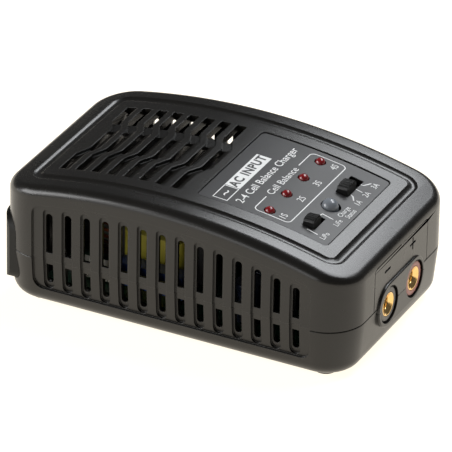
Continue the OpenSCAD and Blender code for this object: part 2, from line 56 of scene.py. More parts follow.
# Outside of the case: half width, end face with the jacks, half length, height, parting line, underside
HALF_W = low_box[1][1]
FACE_X = top_box[1][0]
HALF_L = -top_box[0][0]
CASE_H = top_box[1][2]
PART_Z = 16.4
FLOOR_Z = low_box[0][2]
# Corners in plan, the roof's arch and the fillet between roof and sides
CORNER_R = 11.6
ARCH_R, ARCH_X = 195.0, -6.9
FILLET = 3.2
# Thickness of the side walls, of the roof and of the floor
WALL, ROOF, FLOOR = 2.4, 2.2, 2.4
# Lower shell: inset of its hollow, fillet at the underside, inset of the underside, slope of the sides
LOWER_INSET = 3.37
LOW_FILLET = 4.6
LOW_IN = 0.975
LEAN = 5.35
# Side slots, and how many of them the far side has
SLOTS, SLOT_PITCH, SLOT_W = 14, 5.93, 2.1
FAR_SLOTS = 7
PANEL_DEPTH, POCKET_DEPTH = 0.7, 1.4
# Screw posts, posts of the board, and feet, one of each near every corner
CORNERS = [(sx, sy) for sx in (-1, 1) for sy in (-1, 1)]
POSTS, POST_R = (46.0, 18.4), 4.3
BOARD_POSTS = (38, 20)
FEET = (44.5, 25.4)
# Output jacks and the boss round them
JACK_Y, JACK_Z, JACK_FACE = 8.25, 14.8, 55.2
BOSS_R = 6.7
# Switches and status light stand in one row across the case
CONTROL_X = 33.6
# Mesh tools that only have to reach past the case stop here
ABOVE = 60


def arch(x, drop=0.0):
    """Height of the roof at x, or of the arch a drop under it."""
    return CASE_H - ARCH_R + math.sqrt((ARCH_R - drop) ** 2 - (x - ARCH_X) ** 2)


def slot_x(i):
    """Middle of a side slot, counted from the rear."""
    return (i - (SLOTS - 1) / 2) * SLOT_PITCH


# ---------------------------------------------------------------- mesh helpers
def mesh_object(name, verts, faces):
    """A new object from a mesh in millimetres, its faces turned outwards."""
    mesh = bpy.data.meshes.new(name)
    mesh.from_pydata([[c * MM for c in v] for v in verts], [], faces)
    bm = bmesh.new()
    bm.from_mesh(mesh)
    bmesh.ops.recalc_face_normals(bm, faces=bm.faces)
    bm.to_mesh(mesh)
    bm.free()
    obj = bpy.data.objects.new(name, mesh)
    bpy.context.collection.objects.link(obj)
    return obj


def merged(parts):
    """Several meshes as one."""
    verts, faces = [], []
    for v, f in parts:
        start = len(verts)
        verts += v
        faces += [[i + start for i in face] for face in f]
    return verts, faces


def smooth(obj, angle=30.0):
    for p in obj.data.polygons:
        p.use_smooth = True
    obj.data.set_sharp_from_angle(angle=math.radians(angle))


def combine(obj, parts, operation="DIFFERENCE"):
    """Cuts away or adds closed meshes that don't touch each other, or one finished object."""
    other = parts if isinstance(parts, bpy.types.Object) else mesh_object("tool", *merged(parts))
    mod = obj.modifiers.new("combine", "BOOLEAN")
    mod.operation, mod.solver, mod.object = operation, "MANIFOLD", other
    bpy.context.view_layer.update()
    shaped = obj.evaluated_get(bpy.context.evaluated_depsgraph_get())
    mesh = bpy.data.meshes.new_from_object(shaped)
    obj.modifiers.clear()
    old, obj.data = obj.data, mesh
    bpy.data.meshes.remove(old)
    bpy.data.objects.remove(other)


def bar(outline, near, far):
    """A closed solid between two places for every point of an outline."""
    n = len(outline)
    verts = [near(a, b) for a, b in outline] + [far(a, b) for a, b in outline]
    faces = [list(range(n))[::-1], list(range(n, 2 * n))]
    return verts, faces + [[i, (i + 1) % n, (i + 1) % n + n, i + n] for i in range(n)]


def upright(outline, z0, z1):
    """A solid from an outline in x and y."""
    return bar(outline, lambda x, y: (x, y, z0), lambda x, y: (x, y, z1))


def across(outline, y0, y1):
    """A solid from an outline in x and z."""
    return bar(outline, lambda x, z: (x, y0, z), lambda x, z: (x, y1, z))


def along(outline, x0, x1):
    """A solid from an outline in y and z."""
    return bar(outline, lambda y, z: (x0, y, z), lambda y, z: (x1, y, z))


def rect(a0, a1, b0, b1):
    return [(a0, b0), (a1, b0), (a1, b1), (a0, b1)]


def circle(a, b, r, steps=40):
    return [(a + r * math.cos(t), b + r * math.sin(t))
            for t in (2 * math.pi * i / steps for i in range(steps))]


def arc(a, b, r, start, end, steps):
    turns = (math.radians(start + (end - start) * i / steps) for i in range(steps + 1))
    return [(a + r * math.cos(t), b + r * math.sin(t)) for t in turns]


def stadium(a, b, half, r, steps=20):
    """An oval lying along its first direction."""
    return arc(a + half - r, b, r, -90, 90, steps) + arc(a - half + r, b, r, 90, 270, steps)


def block(x0, x1, y0, y1, z0, z1):
    return upright(rect(x0, x1, y0, y1), z0, z1)


def ring(x0, x1, y0, y1, r, long_steps=1, arc_steps=12):
    """A rounded rectangle whose points pair up across the middle.

    Each point is x, y and the outward direction.
    """
    cx0, cx1, cy0, cy1 = x0 + r, x1 - r, y0 + r, y1 - r
    points = []
    for cx, cy, start in ((cx0, cy0, 180), (cx1, cy0, 270), (cx1, cy1, 0), (cx0, cy1, 90)):
        for i in range(arc_steps + 1):
            t = math.radians(start + 90 * i / arc_steps)
            points.append((cx + r * math.cos(t), cy + r * math.sin(t), math.cos(t), math.sin(t)))
        if start in (180, 0):
            a, b = (cx0, cx1) if start == 180 else (cx1, cx0)
            y, n = points[-1][1], points[-1][3]
            points += [(a + (b - a) * k / long_steps, y, 0.0, n) for k in range(1, long_steps)]
    return points


def case_ring(inset, long_steps=64, arc_steps=14):
    """The plan of the case, moved inwards by an inset."""
    return ring(inset - HALF_L, HALF_L - inset, inset - HALF_W, HALF_W - inset, CORNER_R - inset, long_steps,
                arc_steps)


def loft(rings):
    """Joins rings of points and closes both ends with strips that run across the width."""
    n = len(rings[0])
    verts = [p for r in rings for p in r]
    faces = []
    for k in range(len(rings) - 1):
        a, b = k * n, (k + 1) * n
        faces += [[a + i, a + (i + 1) % n, b + (i + 1) % n, b + i] for i in range(n)]
    for start, up in ((0, False), ((len(rings) - 1) * n, True)):
        for k in range(n // 2 - 1):
            face = [start + k, start + k + 1, start + n - 2 - k, start + n - 1 - k]
            faces.append(face if up else face[::-1])
    return verts, faces


def layer(points, low, high):
    """A solid between two heights that may follow x."""
    return loft([[(p[0], p[1], low(p[0])) for p in points], [(p[0], p[1], high(p[0])) for p in points]])


def lathe(profile, place, steps=48, axis="z"):
    """Turns a profile of radius and height round an axis.

    The first and last radii are zero, or the profile closes on itself.
    """
    verts, faces, rows = [], [], []
    for r, h in profile:
        if r < 1e-9:
            rows.append([len(verts)] * steps)
            verts.append((0.0, 0.0, h))
        else:
            rows.append(list(range(len(verts), len(verts) + steps)))
            verts += [(r * math.cos(2 * math.pi * i / steps), r * math.sin(2 * math.pi * i / steps), h)
                      for i in range(steps)]
    pairs = list(zip(rows, rows[1:])) if profile[0][0] < 1e-9 else list(zip(rows, rows[1:] + rows[:1]))
    for a, b in pairs:
        for i in range(steps):
            j = (i + 1) % steps
            face = list(dict.fromkeys([a[i], a[j], b[j], b[i]]))
            if len(face) > 2:
                faces.append(face)
    if axis == "x":
        verts = [(z, x, y) for x, y, z in verts]
    return [tuple(c + o for c, o in zip(v, place)) for v in verts], faces


# ---------------------------------------------------------------- materials
def material(name, base, rough=0.5, metal=0.0, vary=0.12, vary_scale=60.0, grain=0.0, grain_scale=2500.0,
             rough_vary=0.06, coat=0.0, clear=0.0, soft_edge=0.0, glow=None, ior=1.5):
    """A surface with uneven colour, uneven gloss, a fine moulded grain and softened edges."""
    mat = bpy.data.materials.new(name)
    mat.use_nodes = True
    nodes, links = mat.node_tree.nodes, mat.node_tree.links
    shader = nodes["Principled BSDF"]
    put = shader.inputs
    put["Metallic"].default_value = metal
    put["Coat Weight"].default_value = coat
    put["Coat Roughness"].default_value = 0.08
    put["Transmission Weight"].default_value = clear
    put["IOR"].default_value = ior
    where = nodes.new("ShaderNodeTexCoord").outputs["Object"]

    noise = nodes.new("ShaderNodeTexNoise")
    noise.inputs["Scale"].default_value = vary_scale
    noise.inputs["Detail"].default_value = 4.0
    links.new(where, noise.inputs["Vector"])
    ramp = nodes.new("ShaderNodeValToRGB")
    ramp.color_ramp.elements[0].position, ramp.color_ramp.elements[1].position = 0.3, 0.7
    ramp.color_ramp.elements[0].color = [c * (1 - vary) for c in base] + [1]
    ramp.color_ramp.elements[1].color = [min(1, c * (1 + vary)) for c in base] + [1]
    links.new(noise.outputs["Fac"], ramp.inputs["Fac"])
    links.new(ramp.outputs["Color"], put["Base Color"])

    spread = nodes.new("ShaderNodeMapRange")
    spread.inputs["To Min"].default_value = max(0.02, rough - rough_vary)
    spread.inputs["To Max"].default_value = min(1.0, rough + rough_vary)
    links.new(noise.outputs["Fac"], spread.inputs["Value"])
    links.new(spread.outputs["Result"], put["Roughness"])

    normal = None
    if soft_edge:
        rounded = nodes.new("ShaderNodeBevel")
        rounded.samples = 8
        rounded.inputs["Radius"].default_value = soft_edge * MM
        normal = rounded.outputs["Normal"]
        links.new(normal, put["Normal"])
    if grain:
        fine = nodes.new("ShaderNodeTexNoise")
        fine.inputs["Scale"].default_value = grain_scale
        fine.inputs["Detail"].default_value = 2.0
        links.new(where, fine.inputs["Vector"])
        bump = nodes.new("ShaderNodeBump")
        bump.inputs["Strength"].default_value = grain
        bump.inputs["Distance"].default_value = 0.03 * MM
        links.new(fine.outputs["Fac"], bump.inputs["Height"])
        if normal:
            links.new(normal, bump.inputs["Normal"])
        links.new(bump.outputs["Normal"], put["Normal"])
    if glow:
        put["Emission Color"].default_value = list(glow) + [1]
        put["Emission Strength"].default_value = 1.0
    return mat


M_CASE = material("case_plastic", (0.0070, 0.0063, 0.0053), 0.30, grain=0.1, soft_edge=0.22, vary_scale=90,
                  ior=1.44)
M_ROOF = material("roof_plastic", (0.0070, 0.0063, 0.0053), 0.27, grain=0.02, soft_edge=0.25,
                  rough_vary=0.02, vary_scale=90, ior=1.44)
M_LABEL = material("label_film", (0.0145, 0.014, 0.0145), 0.42, grain=0.06, grain_scale=5000, vary=0.05,
                   ior=1.42)
M_PRINT = material("label_white", (0.70, 0.70, 0.69), 0.5, vary=0.04, vary_scale=400)
M_INK = material("label_ink", (0.012, 0.012, 0.012), 0.45)
M_BLACK = material("black_plastic", (0.012, 0.012, 0.012), 0.42, grain=0.2, soft_edge=0.15, vary_scale=200)
M_KNOB = material("knob_plastic", (0.004, 0.004, 0.004), 0.4, grain=0.1, soft_edge=0.06, vary_scale=300,
                  ior=1.4)
M_BEZEL = material("bezel_plastic", (0.005, 0.005, 0.004), 0.6, grain=0.2, soft_edge=0.15, vary_scale=200,
                   ior=1.35)
# Darker gold for the inside of the jack bores: the darkening is painted shade deep in the tubes.
M_BORE_SHADE = material("bore_gold_painted_shade", (0.20, 0.11, 0.03), 0.4, metal=1.0, vary=0.1, vary_scale=500)
M_NEG = material("jack_dark_plastic", (0.035, 0.032, 0.030), 0.34, soft_edge=0.1, vary_scale=300)
M_POS = material("jack_red_plastic", (0.26, 0.075, 0.06), 0.34, soft_edge=0.1, vary_scale=300)
M_GOLD = material("gold_plate", (0.83, 0.55, 0.22), 0.22, metal=1.0, vary=0.06, vary_scale=500, grain=0.08)
M_TIN = material("tinned_pin", (0.66, 0.65, 0.62), 0.3, metal=1.0, vary=0.08, vary_scale=600)
M_RED = material("red_light", (0.17, 0.006, 0.008), 0.22, vary=0.15, vary_scale=500, coat=0.25,
                 rough_vary=0.02)
M_CLEAR = material("clear_light", (0.34, 0.37, 0.41), 0.24, vary=0.05, vary_scale=500, coat=0.15, clear=0.55,
                   rough_vary=0.02)
M_RUBBER = material("foot_rubber", (0.02, 0.02, 0.02), 0.8, grain=0.5, grain_scale=3000, vary_scale=300)
M_FERRITE = material("ferrite", (0.012, 0.012, 0.013), 0.55, grain=0.6, grain_scale=3500, soft_edge=0.3,
                     vary_scale=400)
M_TAPE = material("yellow_tape", (0.40, 0.35, 0.04), 0.35, vary=0.1, vary_scale=300, soft_edge=0.3, coat=0.4)
M_BLUE = material("blue_plastic", (0.010, 0.026, 0.10), 0.3, vary=0.1, vary_scale=300, soft_edge=0.5)
M_SLEEVE = material("capacitor_sleeve", (0.012, 0.016, 0.03), 0.28, vary=0.15, vary_scale=300, soft_edge=0.5)
M_STEEL = material("screw_steel", (0.42, 0.42, 0.42), 0.32, metal=1.0, vary=0.1, vary_scale=700,
                   soft_edge=0.15)
M_ALU = material("aluminium", (0.6, 0.6, 0.62), 0.38, metal=1.0, vary=0.08, vary_scale=500, grain=0.2,
                 soft_edge=0.2)
M_COPPER = material("enamelled_copper", (0.07, 0.02, 0.008), 0.4, metal=1.0, vary=0.15, vary_scale=800,
                    soft_edge=0.25)
M_IVORY = material("ivory_plastic", (0.70, 0.67, 0.58), 0.4, vary=0.05, vary_scale=300, grain=0.15,
                   soft_edge=0.15)
M_CORE = material("choke_core", (0.06, 0.07, 0.05), 0.6, grain=0.5, vary_scale=400)


def board_material():
    """Green board with darker tracks and pale pads."""
    mat = material("board", (0.006, 0.035, 0.018), 0.4, vary=0.1, vary_scale=200, coat=0.2)
    nodes, links = mat.node_tree.nodes, mat.node_tree.links
    where = nodes.new("ShaderNodeTexCoord").outputs["Object"]
    tracks = nodes.new("ShaderNodeTexBrick")
    tracks.inputs["Scale"].default_value = 160.0
    tracks.inputs["Mortar Size"].default_value = 0.03
    tracks.inputs["Color1"].default_value = (0.005, 0.030, 0.014, 1)
    tracks.inputs["Color2"].default_value = (0.007, 0.042, 0.020, 1)
    tracks.inputs["Mortar"].default_value = (0.014, 0.075, 0.034, 1)
    links.new(where, tracks.inputs["Vector"])
    links.new(tracks.outputs["Color"], nodes["Principled BSDF"].inputs["Base Color"])
    return mat


M_BOARD = board_material()

# ---------------------------------------------------------------- upper shell
def top_outer():
    """The arched outside of the upper shell, with its fillet."""
    full, inner = case_ring(0.0), case_ring(FILLET)
    rings = [[(x - 0.2 * nx, y - 0.2 * ny, PART_Z) for x, y, nx, ny in full],
             [(x, y, PART_Z + 0.22) for x, y, nx, ny in full]]
    steps = 14
    for s in range(steps + 1):
        level = []
        for x, y, nx, ny in inner:
            z = arch(x, FILLET)
            tilt = math.asin((x - ARCH_X) / (ARCH_R - FILLET))
            side, up = Vector((nx, ny, 0)), Vector((math.sin(tilt), 0, math.cos(tilt)))
            way = side.slerp(up, s / steps) if side.angle(up) > 1e-6 else up
            level.append((x + FILLET * way.x, y + FILLET * way.y, z + FILLET * way.z))
        rings.append(level)
    return loft(rings)


def plan_strip(inset, low, high, long_steps=64):
    """The case's plan between two heights, as a tool."""
    return layer(case_ring(inset, long_steps, 8), low, high)


def groove_tool():
    """The rounded groove in the roof, all the way round and open at the top."""
    half_l, half_w, r = 47.0, 26.6, 3.5
    path = ring(-half_l, half_l, -half_w, half_w, r, 60, 10)
    width, depth = 1.45, 0.55
    r_cut = (width ** 2 + depth ** 2) / (2 * depth)
    spread = math.degrees(math.asin(width / r_cut))
    floor_line = arc(0.0, r_cut - depth, r_cut, -90 - spread, -90 + spread, 12)
    profile = [(-width, 1.2)] + floor_line + [(width, 1.2)]
    verts, faces, m = [], [], len(profile)
    for x, y, nx, ny in path:
        for u, v in profile:
            px, py = x + u * nx, y + u * ny
            verts.append((px, py, arch(px) + v))
    n = len(path)
    for i in range(n):
        for j in range(m):
            a, b = i * m + j, i * m + (j + 1) % m
            c, d = ((i + 1) % n) * m + (j + 1) % m, ((i + 1) % n) * m + j
            faces.append([a, b, c, d])
    return verts, faces


def sunk(outline, depth, top=50.0):
    """A cut whose floor lies a depth under the arch; the depth may change with x."""
    deep = depth if callable(depth) else (lambda x: depth)
    return bar(outline, lambda x, y: (x, y, arch(x) - deep(x)), lambda x, y: (x, y, top))


# Roof channels: width, sideways step of the middle stretch, and where each stretch starts and ends
CHANNEL_W, CHANNEL_STEP = 3.0, 2.25
channel_x = [-40.45 + 5.03 * i - CHANNEL_W / 2 for i in range(8)]
stretches = ((0.0, -20.9, -10.6), (CHANNEL_STEP, -6.3, 6.4), (0.0, 11.4, 20.9))


def panel_outline(low):
    """The recessed panel in the side view, below or above the parting line."""
    half, r, z0 = 43.5, 3.2, 6.6
    if low:
        bottom = arc(half - r, z0 + r, r, 0, -90, 8) + arc(r - half, z0 + r, r, -90, -180, 8)
        return bottom + [(-half, PART_Z + 1), (half, PART_Z + 1)]
    xs = [(half - r) * (1 - i / 20) for i in range(41)]
    top = [(x, arch(x, 5.4)) for x in xs]
    right = arc(half - r, top[0][1] - r, r, 0, 80, 7)
    left = arc(r - half, top[-1][1] - r, r, 100, 180, 7)
    return [(-half, PART_Z - 1), (half, PART_Z - 1)] + right + top[1:-1] + left


def pocket_outline(i, low, grow, z_cut, over):
    """A round-ended slot in the side view, from z_cut to its end."""
    x, w = slot_x(i), SLOT_W / 2 + grow
    if low:
        end = 8.6 - over + w
        return [(x + w, z_cut), (x - w, z_cut)] + arc(x, end, w, 180, 360, 12)
    end = arch(x, 8.4) + over - w
    return [(x - w, z_cut), (x + w, z_cut)] + arc(x, end, w, 0, 180, 12)


def side_cuts(low):
    """Panel, pockets and open slots of one shell, as three lots of tools."""
    lean = math.tan(math.radians(LEAN))

    def wall(side, depth):
        def back(x, z):
            y = HALF_W - depth - (max(0.0, PART_Z - 0.4 - z) * lean if low else 0.0)
            return (x, side * y, z)
        return back

    panel, pockets, slots = [], [], []
    for side in (-1, 1):
        front = lambda x, z, s=side: (x, s * (HALF_W + 4), z)
        panel.append(bar(panel_outline(low), front, wall(side, PANEL_DEPTH)))
        for i in range(SLOTS if side < 0 else FAR_SLOTS):
            pockets.append(bar(pocket_outline(i, low, 0.6, PART_Z + (1 if low else -1), 1.7), front,
                               wall(side, POCKET_DEPTH)))
            z_cut = 14.6 if low else 18.4
            slots.append(across(pocket_outline(i, low, 0.0, z_cut, 0.0), side * (HALF_W + 4),
                                side * (HALF_W - 7)))
    return panel, pockets, slots


def bezel_tool():
    """The recess that the rear bezel sits in."""
    half, r, z0, z1 = 32.75, 4.15, 5.45, 25.55
    outline = []
    for y, z, start in ((half - r, z0 + r, -90), (half - r, z1 - r, 0),
                        (r - half, z1 - r, 90), (r - half, z0 + r, 180)):
        outline += arc(y, z, r, start, start + 90, 8)
    tool = mesh_object("bezel_tool", *along(outline, -60, -38))
    combine(tool, [plan_strip(1.2, lambda x: -5, lambda x: ABOVE, 1)])
    return tool


def boss(upper):
    """One half of the jack boss, with a rounded rim."""
    r, half = BOSS_R, JACK_Y + BOSS_R
    def outline(inset):
        oval = stadium(0.0, JACK_Z, half - inset, r - inset, 24)
        if upper:
            return [(y, max(z, JACK_Z + 0.06)) for y, z in oval]
        return [(y, min(z, JACK_Z - 0.06)) for y, z in oval]
    steps = [(0.0, 50.5), (0.0, FACE_X - 0.3), (0.1, FACE_X - 0.12), (0.3, FACE_X)]
    verts, faces = [], []
    for inset, x in steps:
        verts += [(x, y, z) for y, z in outline(inset)]
    n = len(verts) // len(steps)
    faces += [list(range(n))[::-1], list(range(n * (len(steps) - 1), n * len(steps)))]
    for k in range(len(steps) - 1):
        faces += [[k * n + i, k * n + (i + 1) % n, (k + 1) * n + (i + 1) % n, (k + 1) * n + i]
                  for i in range(n)]
    return verts, faces


def clean(obj):
    """Joins points that coincide and drops faces without area."""
    bm = bmesh.new()
    bm.from_mesh(obj.data)
    bmesh.ops.remove_doubles(bm, verts=bm.verts, dist=1e-7)
    bmesh.ops.dissolve_degenerate(bm, edges=bm.edges, dist=1e-7)
    bm.to_mesh(obj.data)
    bm.free()


def inlet_cut():
    """Window for the mains inlet in the rear wall."""
    return [along(rect(-9.4, 9.4, 9.6, 21.4), -60, -45)]


def jack_cuts():
    """Bores through the end wall and the wider seats of the coloured rings."""
    holes = [along(circle(s * JACK_Y, JACK_Z, 4.8), 47, 62) for s in (-1, 1)]
    seats = [along(circle(s * JACK_Y, JACK_Z, 5.6, 48), JACK_FACE - 0.8, 62) for s in (-1, 1)]
    return holes, seats


# Place and radius of the lights; place, length and travel of the knobs
LIGHTS = [(21.7, 0.05 + (i - 1.5) * 10.7, 1.5) for i in range(4)]
STATUS = (CONTROL_X, -2.1, 2.5)
KNOB_HALF_W = 1.7
KNOBS = {"chemistry_switch_knob": (-15.8, 4.6, 2.0), "current_switch_knob": (5.6, 5.8, 4.0)}


def control_holes(gap):
    """Holes for the lights and windows for the knobs, with a gap all round."""
    holes = [upright(circle(x, y, r + gap, 36), 20, ABOVE) for x, y, r in LIGHTS]
    holes.append(upright(circle(STATUS[0] + 0.28, STATUS[1], STATUS[2] + gap + 0.2, 48), 20, ABOVE))
    for y, l, travel in KNOBS.values():
        g = gap + 0.08
        x0, x1 = CONTROL_X - KNOB_HALF_W - g, CONTROL_X + KNOB_HALF_W + g
        holes.append(block(x0, x1, y - g, y + l + travel + g, 20, ABOVE))
    return holes


def build_top():
    """The upper shell with its vents, groove, label recess and marks."""
    obj = mesh_object("top_shell_fine", *top_outer())
    combine(obj, [plan_strip(WALL, lambda x: PART_Z - 1, lambda x: arch(x, ROOF))])
    posts = [upright(circle(sx * POSTS[0], sy * POSTS[1], POST_R), PART_Z, arch(sx * POSTS[0] + POST_R, 1.6))
             for sx, sy in CORNERS]
    combine(obj, posts, "UNION")
    combine(obj, [boss(True)], "UNION")
    panel, pockets, slots = side_cuts(False)
    for tools in (panel, pockets, slots):
        combine(obj, tools)
    combine(obj, [groove_tool()])
    through, ramps, kinks = [], [], []
    w = CHANNEL_W
    for x in channel_x:
        for k, (shift, y0, y1) in enumerate(stretches):
            a = x + shift
            gap, deep = (1.15, 0.9) if k < 2 else (1.7, 1.9)
            through.append(block(a, a + gap, y0, y1, 20, ABOVE))
            slope = lambda px, a=a, g=gap, d=deep: d - (d - 0.12) * (px - a - g + 0.02) / (w - g)
            ramps.append(sunk(rect(a + gap - 0.02, a + w, y0, y1), slope))
        for ya, yb, xa, xb in ((-10.6, -6.3, x, x + CHANNEL_STEP), (6.4, 11.4, x + CHANNEL_STEP, x)):
            kink = [(xa, ya - 0.01), (xa + w, ya - 0.01), (xb + w, yb + 0.01), (xb, yb + 0.01)]
            kinks.append(sunk(kink, 1.1))
    for tools in (through, ramps, kinks):
        combine(obj, tools)
    lo, hi, gap = label_box[0], label_box[1], 0.35
    recess = ring(lo[0] - gap, hi[0] + gap, lo[1] - gap, hi[1] + gap, 1.5, 30, 6)
    combine(obj, [layer(recess, lambda x: arch(x, 0.6), lambda x: ABOVE)])
    combine(obj, control_holes(0.32))
    screw_holes = [upright(circle(sx * POSTS[0], sy * POSTS[1], 1.3, 24), 10, 29) for sx, sy in CORNERS]
    combine(obj, screw_holes)
    for tools in jack_cuts():
        combine(obj, tools)
    combine(obj, bezel_tool())
    combine(obj, inlet_cut())
    # fine engraved outline on the end face, then the plus and minus marks
    cuts = [along(rect(y - 0.13, y + 0.13, PART_Z - 1, 28.6), HALF_L - 0.25, HALF_L + 1)
            for y in (17.2, -17.2)]
    cuts.append(along(rect(-16.0, 16.0, 29.57, 29.83), HALF_L - 0.25, HALF_L + 1))
    for s in (-1, 1):
        outer = arc(s * 16.0, 28.5, 1.33, 90, 90 - s * 90, 8)
        inner = arc(s * 16.0, 28.5, 1.07, 90 - s * 90, 90, 8)
        cuts.append(along(outer + inner, HALF_L - 0.25, HALF_L + 1))
    combine(obj, cuts)
    plus = [(7.15, 24.5), (7.85, 24.5), (7.85, 26.05), (9.4, 26.05), (9.4, 26.75), (7.85, 26.75),
            (7.85, 28.3), (7.15, 28.3), (7.15, 26.75), (5.6, 26.75), (5.6, 26.05), (7.15, 26.05)]
    minus = rect(-10.8, -7.1, 25.7, 26.4)
    combine(obj, [along(mark, HALF_L - 0.45, HALF_L + 1) for mark in (plus, minus)])
    clean(obj)
    smooth(obj)
    return obj


# ---------------------------------------------------------------- lower shell
def build_bottom():
    """The lower shell with its leaning sides, slots and screw posts."""
    centre_in, centre_z = LOW_IN + LOW_FILLET, FLOOR_Z + LOW_FILLET
    rings = []

    def level(inset, z):
        rings.append([(x, y, z) for x, y, nx, ny in case_ring(inset, 1)])

    for s in range(13):
        t = math.radians(-90 + (90 - LEAN) * s / 12)
        level(centre_in - LOW_FILLET * math.cos(t), centre_z + LOW_FILLET * math.sin(t))
    level(0.0, PART_Z - 0.4)
    level(0.0, PART_Z - 0.2)
    level(0.18, PART_Z)
    obj = mesh_object("bottom_shell_fine", *loft(rings))
    combine(obj, [plan_strip(LOWER_INSET, lambda x: FLOOR_Z + FLOOR, lambda x: ABOVE, 1)])
    combine(obj, [upright(circle(sx * POSTS[0], sy * POSTS[1], POST_R), FLOOR_Z + 1, PART_Z)
                  for sx, sy in CORNERS], "UNION")
    combine(obj, [upright(circle(sx * BOARD_POSTS[0], sy * BOARD_POSTS[1], 3), FLOOR_Z + 1, 7)
                  for sx, sy in CORNERS], "UNION")
    oval = stadium(0.0, JACK_Z, JACK_Y + BOSS_R + 0.05, BOSS_R + 0.05, 24)
    combine(obj, [along([(y, max(z, JACK_Z)) for y, z in oval], 51.6, 70)])
    combine(obj, [boss(False)], "UNION")
    panel, pockets, slots = side_cuts(True)
    for tools in (panel, pockets, slots):
        combine(obj, tools)
    for tools in jack_cuts():
        combine(obj, tools)
    combine(obj, bezel_tool())
    combine(obj, inlet_cut())
    combine(obj, [block(lo[0] - 0.25, hi[0] + 0.25, 27, 40, lo[2] - 0.25, hi[2] + 0.25)
                  for lo, hi in socket_boxes])
    combine(obj, [upright(circle(sx * POSTS[0], sy * POSTS[1], 1.7, 24), -1, 20) for sx, sy in CORNERS])
    combine(obj, [upright(circle(sx * POSTS[0], sy * POSTS[1], 3.1), -1, 8.52) for sx, sy in CORNERS])
    combine(obj, [upright(circle(sx * FEET[0], sy * FEET[1], 3.7), -1, FLOOR_Z + 0.6) for sx, sy in CORNERS])
    combine(obj, [upright(circle(sx * BOARD_POSTS[0], sy * BOARD_POSTS[1], 1.05, 24), FLOOR_Z + 2, 12)
                  for sx, sy in CORNERS])
    clean(obj)
    smooth(obj)
    return obj


def finish_piece(obj, mat, body="case", nodes=()):
    """Gives a piece its material and its body, and hides the CAD nodes it stands for."""
    obj.data.materials.clear()
    obj.data.materials.append(mat)
    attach(obj, body)
    if nodes:
        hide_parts(*nodes)
    return obj


finish_piece(build_top(), M_ROOF, nodes=["top_shell"])
finish_piece(build_bottom(), M_CASE, nodes=["bottom_shell"])

# ---------------------------------------------------------------- label
def build_label():
    """The arched label film with its holes."""
    x0, x1, y0, y1 = label_box[0][0], label_box[1][0], label_box[0][1], label_box[1][1]
    plan = ring(x0, x1, y0, y1, 1.2, 40, 6)
    obj = mesh_object("label_film", *layer(plan, lambda x: arch(x, 0.59), lambda x: arch(x, 0.3)))
    combine(obj, control_holes(0.22))
    clean(obj)
    smooth(obj)
    return obj


finish_piece(build_label(), M_LABEL, nodes=["label_overlay"])


def on_label(x, y, lift=0.02):
    """A point just above the label film."""
    return (x, y, arch(x, 0.3) + lift)


def ribbon(points, width=0.34, closed=False):
    """A printed line on the label."""
    fine = []
    n = len(points)
    for i in range(n if closed else n - 1):
        (xa, ya), (xb, yb) = points[i], points[(i + 1) % n]
        cuts = max(1, int(math.hypot(xb - xa, yb - ya) / 1.5))
        fine += [(xa + (xb - xa) * k / cuts, ya + (yb - ya) * k / cuts) for k in range(cuts)]
    if not closed:
        fine.append(points[-1])
    verts, faces, m = [], [], len(fine)
    for i, (x, y) in enumerate(fine):
        ahead = fine[(i + 1) % m] if closed or i < m - 1 else fine[i]
        behind = fine[i - 1] if closed or i else fine[i]
        way = Vector((ahead[0] - behind[0], ahead[1] - behind[1])).normalized()
        one = Vector((ahead[0] - x, ahead[1] - y))
        thick = width / 2
        if one.length > 1e-6 and (closed or 0 < i < m - 1):
            thick /= max(0.7, abs(one.normalized().dot(way)))
        verts += [on_label(x - s * way.y * thick, y + s * way.x * thick) for s in (1, -1)]
    for i in range(m if closed else m - 1):
        j = (i + 1) % m
        faces.append([2 * i, 2 * i + 1, 2 * j + 1, 2 * j])
    return verts, faces


def lettering(words, x, y, size, lift=0.02, bold=0.012, wide=1.0, gap=1.0):
    """Flat letters read along +Y, their tops towards -X."""
    curve = bpy.data.curves.new("words", "FONT")
    curve.body, curve.size, curve.align_x, curve.align_y = words, size, "CENTER", "CENTER"
    curve.offset, curve.resolution_u, curve.space_character = bold, 4, gap
    obj = bpy.data.objects.new("words", curve)
    bpy.context.collection.objects.link(obj)
    bpy.context.view_layer.update()
    mesh = bpy.data.meshes.new_from_object(obj.evaluated_get(bpy.context.evaluated_depsgraph_get()))
    verts = [on_label(x - v.co.y, y + v.co.x * wide, lift) for v in mesh.vertices]
    faces = [list(p.vertices) for p in mesh.polygons]
    bpy.data.objects.remove(obj)
    return verts, faces


def patch(x0, x1, y0, y1, lift=0.02):
    """A printed block on the label."""
    xs = [x0 + (x1 - x0) * i / 4 for i in range(5)]
    verts = [on_label(x, y, lift) for x in xs for y in (y0, y1)]
    return verts, [[2 * i, 2 * i + 2, 2 * i + 3, 2 * i + 1] for i in range(4)]


